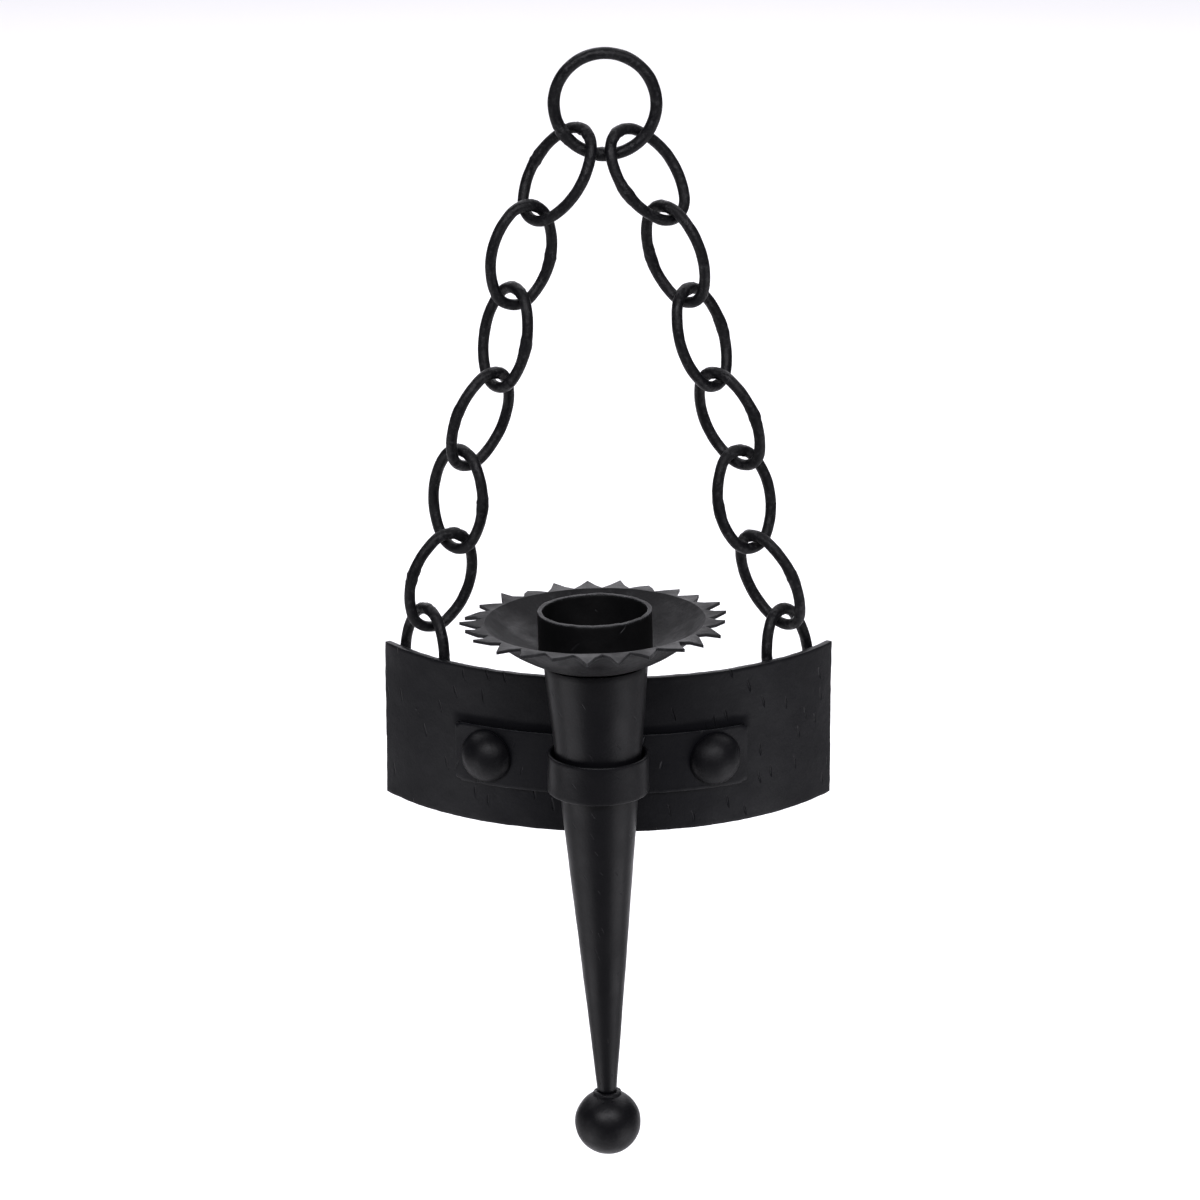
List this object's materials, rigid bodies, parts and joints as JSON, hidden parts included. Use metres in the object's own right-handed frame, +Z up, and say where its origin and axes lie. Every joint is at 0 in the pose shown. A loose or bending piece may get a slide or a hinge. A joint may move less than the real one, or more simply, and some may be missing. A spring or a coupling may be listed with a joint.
{
  "type": "wall sconce candle holder",
  "caption": "Wrought iron wall sconce: a torch-shaped candle holder with a toothed drip pan in a collar on a bowed plate, hung from a ring by link chains.",
  "frame": {"origin": "where the nail carries the hanging ring: the top of the ring's inside, in the plane of the chains", "axes": "+X to the right of someone facing the sconce, +Y into the wall, +Z up"},
  "size_m": [0.1014, 0.0696, 0.2452],
  "materials": {
    "chain_iron": "satin black paint on wrought iron",
    "plate_iron": "satin black paint on wrought iron",
    "strap_iron": "satin black paint on wrought iron",
    "rivet_iron": "satin black paint on wrought iron",
    "torch_iron": "satin black paint on wrought iron",
    "pan_iron": "satin black paint on wrought iron",
    "weld_iron": "satin black paint on wrought iron"
  },
  "bodies": {
    "ring": {"hanging_ring": "chain_iron"},
    "left_link_1": {"left_link_1": "chain_iron"},
    "right_link_1": {"right_link_1": "chain_iron"},
    "left_link_2": {"left_link_2": "chain_iron"},
    "right_link_2": {"right_link_2": "chain_iron"},
    "left_link_3": {"left_link_3": "chain_iron"},
    "right_link_3": {"right_link_3": "chain_iron"},
    "left_link_4": {"left_link_4": "chain_iron"},
    "right_link_4": {"right_link_4": "chain_iron"},
    "left_link_5": {"left_link_5": "chain_iron"},
    "right_link_5": {"right_link_5": "chain_iron"},
    "left_link_6": {"left_link_6": "chain_iron"},
    "right_link_6": {"right_link_6": "chain_iron"},
    "bracket": {"left_link_7": "chain_iron", "right_link_7": "chain_iron", "left_link_weld": "weld_iron", "right_link_weld": "weld_iron", "back_plate": "plate_iron", "mounting_strap": "strap_iron", "torch_collar": "strap_iron", "collar_weld_left": "weld_iron", "collar_weld_right": "weld_iron", "left_rivet": "rivet_iron", "right_rivet": "rivet_iron"},
    "torch": {"torch_cone": "torch_iron", "cone_cap": "torch_iron", "drip_pan": "pan_iron", "candle_cup": "pan_iron", "pan_rivet": "rivet_iron", "ball_finial": "torch_iron", "finial_weld": "weld_iron"}
  },
  "joints": [
    {"name": "left_link_1_swing", "type": "hinge", "parent": "ring", "child": "left_link_1", "pos_m": [0, 0, -0.00985], "axis": [0, 1, 0], "range_deg": [-15, 15]},
    {"name": "right_link_1_swing", "type": "hinge", "parent": "ring", "child": "right_link_1", "pos_m": [0, 0, -0.00985], "axis": [0, 1, 0], "range_deg": [-15, 15]},
    {"name": "left_link_2_curl", "type": "hinge", "parent": "left_link_1", "child": "left_link_2", "pos_m": [0, 0, -0.03495], "axis": [-1, 0, 0], "range_deg": [0, 15]},
    {"name": "right_link_2_curl", "type": "hinge", "parent": "right_link_1", "child": "right_link_2", "pos_m": [0, 0, -0.03495], "axis": [-1, 0, 0], "range_deg": [0, 15]},
    {"name": "left_link_3_curl", "type": "hinge", "parent": "left_link_2", "child": "left_link_3", "pos_m": [0, -0.00075, -0.05434], "axis": [-1, 0, 0], "range_deg": [0, 15]},
    {"name": "right_link_3_curl", "type": "hinge", "parent": "right_link_2", "child": "right_link_3", "pos_m": [0, -0.00075, -0.05434], "axis": [-1, 0, 0], "range_deg": [0, 15]},
    {"name": "left_link_4_curl", "type": "hinge", "parent": "left_link_3", "child": "left_link_4", "pos_m": [0, -0.0002, -0.07314], "axis": [-1, 0, 0], "range_deg": [0, 15]},
    {"name": "right_link_4_curl", "type": "hinge", "parent": "right_link_3", "child": "right_link_4", "pos_m": [0, -0.0002, -0.07314], "axis": [-1, 0, 0], "range_deg": [0, 15]},
    {"name": "left_link_5_curl", "type": "hinge", "parent": "left_link_4", "child": "left_link_5", "pos_m": [0, -0.00015, -0.09144], "axis": [-1, 0, 0], "range_deg": [0, 15]},
    {"name": "right_link_5_curl", "type": "hinge", "parent": "right_link_4", "child": "right_link_5", "pos_m": [0, -0.00015, -0.09144], "axis": [-1, 0, 0], "range_deg": [0, 15]},
    {"name": "left_link_6_curl", "type": "hinge", "parent": "left_link_5", "child": "left_link_6", "pos_m": [0, -0.0001, -0.11062], "axis": [-1, 0, 0], "range_deg": [0, 15]},
    {"name": "right_link_6_curl", "type": "hinge", "parent": "right_link_5", "child": "right_link_6", "pos_m": [0, -0.0001, -0.11062], "axis": [-1, 0, 0], "range_deg": [0, 15]},
    {"name": "bracket_curl", "type": "hinge", "parent": "left_link_6", "child": "bracket", "pos_m": [0, -0.0002, -0.12878], "axis": [-1, 0, 0], "range_deg": [0, 15]},
    {"name": "torch_lift", "type": "slide", "parent": "bracket", "child": "torch", "axis": [-0.0244, 0, 0.9997], "range_m": [0, 0.08]}
  ],
  "couplings": [
    {"joint": "right_link_1_swing", "follows": "left_link_1_swing", "ratio": 1},
    {"joint": "right_link_2_curl", "follows": "left_link_2_curl", "ratio": 1},
    {"joint": "right_link_3_curl", "follows": "left_link_3_curl", "ratio": 1},
    {"joint": "right_link_4_curl", "follows": "left_link_4_curl", "ratio": 1},
    {"joint": "right_link_5_curl", "follows": "left_link_5_curl", "ratio": 1},
    {"joint": "right_link_6_curl", "follows": "left_link_6_curl", "ratio": 1}
  ]
}
